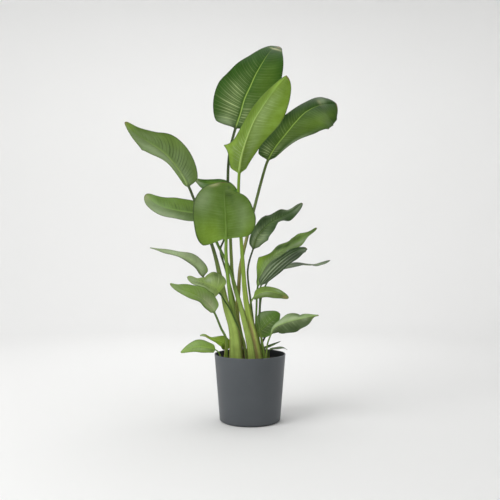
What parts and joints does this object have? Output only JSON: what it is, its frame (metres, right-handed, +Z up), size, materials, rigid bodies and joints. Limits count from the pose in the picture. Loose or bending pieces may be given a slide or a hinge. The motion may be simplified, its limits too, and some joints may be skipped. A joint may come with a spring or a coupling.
{
  "type": "potted bird of paradise plant",
  "caption": "Tall potted house plant: broad paddle leaves on long stalks that fan out from the soil of a plain tapered round pot.",
  "frame": {"origin": "centre of the pot's underside, on the surface it stands on", "axes": "+Z up, +X to the right in the picture, +Y away from the camera"},
  "size_m": [0.7262, 0.4413, 1.3168],
  "materials": {
    "pot": "matte",
    "soil": "rough",
    "leaf": "satin"
  },
  "bodies": {
    "root": {"pot": "pot", "soil": "soil", "leaf_top": "leaf", "leaf_bright": "leaf", "leaf_right_high": "leaf", "leaf_left_high": "leaf", "leaf_front": "leaf", "leaf_left_upper": "leaf", "leaf_back": "leaf", "leaf_left_arch": "leaf", "leaf_left_low": "leaf", "leaf_left_broad": "leaf", "leaf_over_rim": "leaf", "leaf_left_small": "leaf", "leaf_right_upper": "leaf", "leaf_right_wavy": "leaf", "leaf_right_striped": "leaf", "leaf_right_far": "leaf", "leaf_right_round": "leaf", "leaf_low_dark": "leaf", "leaf_low_behind": "leaf", "leaf_low_wavy": "leaf", "leaf_spear": "leaf", "leaf_right_rim": "leaf"}
  },
  "joints": []
}
